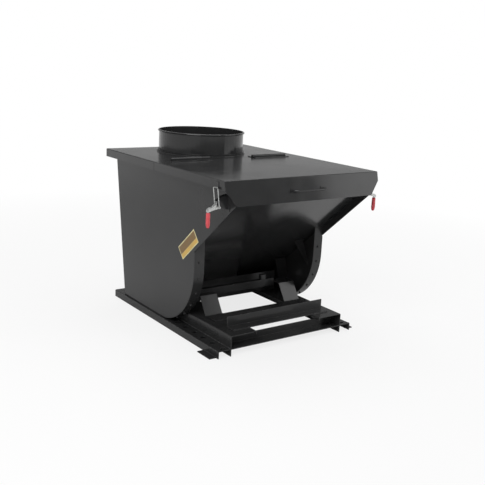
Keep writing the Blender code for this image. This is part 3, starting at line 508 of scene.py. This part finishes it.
def label():
    """A blank label: a pale border, a brown panel and a yellow strip, with no lettering."""
    yellow = film("yellow_film", (0.66, 0.42, 0.085))
    for slot in NODES["label_plate"].material_slots:
        slot.material = film("pale_film", (0.78, 0.70, 0.38))
    bm = clean_copy("label_plate")
    outer = min(bm.faces, key=lambda f: f.calc_center_median().x)
    middle = outer.calc_center_median()
    longest = max(outer.edges, key=lambda e: e.calc_length())
    shortest = min(outer.edges, key=lambda e: e.calc_length())
    half_long, half_short = longest.calc_length() / 2, shortest.calc_length() / 2
    up = (longest.verts[0].co - longest.verts[1].co).normalized()
    up = up if up.z > 0 else -up
    across = Vector((-1, 0, 0)).cross(up)
    across = across if across.z > 0 else -across
    to_world = NODES["label_plate"].matrix_world
    bm.free()
    shares = (("label_strip", -1.0, LABEL_SPLIT, yellow),
              ("label_panel", LABEL_SPLIT, 1.0, film("brown_film", (0.20, 0.115, 0.030))))
    for name, low, high, material in shares:
        panel = bmesh.new()
        width, reach = half_short - LABEL_BORDER, half_long - LABEL_BORDER
        ends = (low * width, high * width - LABEL_GAP)
        corners = ((-reach, ends[0]), (reach, ends[0]), (reach, ends[1]), (-reach, ends[1]))
        under, over = ([panel.verts.new(to_world @ (middle + up * a + across * b
                                                    + Vector((-lift, 0, 0))))
                        for a, b in corners] for lift in FILM_FACES)
        panel.faces.new(under[::-1])
        panel.faces.new(over)
        for i in range(4):
            panel.faces.new((under[i - 1], under[i], over[i], over[i - 1]))
        bmesh.ops.recalc_face_normals(panel, faces=panel.faces)
        finish_mesh(name, panel, material, BODY_OF["label_plate"])


# ---------------------------------------------------------------- studio


BACKDROP_TOP = math.radians(4.5)    # elevation up to which the surroundings are white
CEILING_FROM = math.radians(6.0)    # elevation from which they are the dim ceiling
CEILING_LEVEL = 0.30

CAMERA_PLACE = (-2.6112, -3.6754, 1.5739)
CAMERA_TURN = (-36.058, 13.750, 2.785)      # azimuth, elevation and roll, in degrees
SENSOR, LENS = 36.0, 55.526103              # in millimetres

FLOOR_RADIUS = 40.0
FLOOR_DROP = 0.0005                         # keeps the floor clear of the rails' undersides

# place, point aimed at, size in metres and power in watts
LAMPS = {
    "key": ((-3.2, -2.2, 3.4), (0, 0, 0.5), (2.6, 2.6), 102),
    "top": ((0.4, 0.8, 4.2), (0, 0, 0.4), (3.2, 3.2), 80),
    "fill": ((3.4, -2.6, 2.2), (0, 0, 0.5), (2.4, 2.4), 38),
}


def camera():
    """Looks from the front left and a little above the lid."""
    azimuth, elevation, roll = (math.radians(angle) for angle in CAMERA_TURN)
    back = Vector((math.sin(azimuth) * math.cos(elevation),
                   -math.cos(azimuth) * math.cos(elevation), math.sin(elevation)))
    level = Vector((0, 0, 1)).cross(back).normalized()
    upright = back.cross(level)
    right = level * math.cos(roll) + upright * math.sin(roll)
    up = upright * math.cos(roll) - level * math.sin(roll)
    data = bpy.data.cameras.new("camera")
    data.sensor_width = SENSOR
    data.lens = LENS
    obj = bpy.data.objects.new("camera", data)
    turn = Matrix((right, up, back)).transposed().to_4x4()
    obj.matrix_world = Matrix.Translation(CAMERA_PLACE) @ turn
    bpy.context.scene.collection.objects.link(obj)
    bpy.context.scene.camera = obj


def area_light(name, place, aim, size, watts):
    data = bpy.data.lights.new(name, "AREA")
    data.shape = "RECTANGLE"
    data.size, data.size_y = size
    data.energy = watts
    obj = bpy.data.objects.new(name, data)
    obj.location = place
    obj.rotation_euler = (Vector(aim) - Vector(place)).to_track_quat("-Z", "Y").to_euler()
    bpy.context.scene.collection.objects.link(obj)


def surroundings():
    """A white backdrop up to the top of the view and a dimmer studio over it, for every ray.

    Camera and transmission rays see white at every height.
    """
    world = bpy.data.worlds.new("studio")
    bpy.context.scene.world = world
    world.use_nodes = True
    nodes, links = world.node_tree.nodes, world.node_tree.links
    background = nodes["Background"]
    background.inputs["Color"].default_value = (1, 1, 1, 1)
    direction = nodes.new("ShaderNodeTexCoord")
    split = nodes.new("ShaderNodeSeparateXYZ")
    links.new(direction.outputs["Generated"], split.inputs[0])
    rise = nodes.new("ShaderNodeMapRange")
    links.new(split.outputs["Z"], rise.inputs["Value"])
    for key, number in (("From Min", math.sin(BACKDROP_TOP)), ("From Max", math.sin(CEILING_FROM)),
                        ("To Min", 1.0), ("To Max", CEILING_LEVEL)):
        rise.inputs[key].default_value = number
    path = nodes.new("ShaderNodeLightPath")
    seen = nodes.new("ShaderNodeMath")
    seen.operation = "MAXIMUM"
    links.new(path.outputs["Is Camera Ray"], seen.inputs[0])
    links.new(path.outputs["Is Transmission Ray"], seen.inputs[1])
    strength = nodes.new("ShaderNodeMix")
    strength.inputs["B"].default_value = 1.0
    links.new(seen.outputs[0], strength.inputs["Factor"])
    links.new(rise.outputs["Result"], strength.inputs["A"])
    links.new(strength.outputs["Result"], background.inputs["Strength"])


def lay_floor():
    """A pale floor that keeps the object's shadow."""
    bm = bmesh.new()
    bmesh.ops.create_circle(bm, cap_ends=True, segments=96, radius=FLOOR_RADIUS)
    mesh = bpy.data.meshes.new("floor")
    bm.to_mesh(mesh)
    bm.free()
    floor = bpy.data.objects.new("floor", mesh)
    floor.location.z = -FLOOR_DROP
    bpy.context.scene.collection.objects.link(floor)
    mesh.materials.append(floor_material())


def floor_material():
    """A pale matt floor, covered by plain white that grows with distance from the object.

    Camera and transmission rays see 0.80 of it near the object, which keeps a light shadow.
    Glossy rays see none of it there.
    """
    s = Shader("pale_floor")
    path = s.node("ShaderNodeLightPath")
    distance = s.node("ShaderNodeVectorMath", Vector=s.place)
    distance.operation = "LENGTH"
    white = s.band(distance.outputs["Value"], 1.2, 4.5, 0.80, 1.0)
    seen = s.math("MAXIMUM", path.outputs["Is Camera Ray"], path.outputs["Is Transmission Ray"])
    seen = s.math("MULTIPLY", seen, white)
    mirrored = s.math("MULTIPLY", path.outputs["Is Glossy Ray"],
                      s.band(distance.outputs["Value"], 2.0, 8.0, 0.0, 1.0))
    glow = s.node("ShaderNodeEmission", Color=(1, 1, 1, 1), Strength=1.0)
    mixed = s.node("ShaderNodeMixShader")
    s.feed(mixed.inputs[0], s.math("MAXIMUM", seen, mirrored))
    s.feed(mixed.inputs[1], s.surface.outputs[0])
    s.feed(mixed.inputs[2], glow.outputs[0])
    out = next(n for n in s.tree.nodes if n.type == "OUTPUT_MATERIAL")
    s.feed(out.inputs["Surface"], mixed.outputs[0])
    tone = s.mix(s.band(s.noise(1.5, 3.0), 0.3, 0.7), (0.86, 0.86, 0.86), (0.88, 0.88, 0.88))
    return s.set(Base_Color=tone, Roughness=0.9, Specular_IOR_Level=0.1)


camera()
surroundings()
lay_floor()
for lamp, settings in LAMPS.items():
    area_light(lamp, *settings)
dress_nodes()
add_welds()
label()
bpy.context.scene.view_settings.view_transform = "Standard"
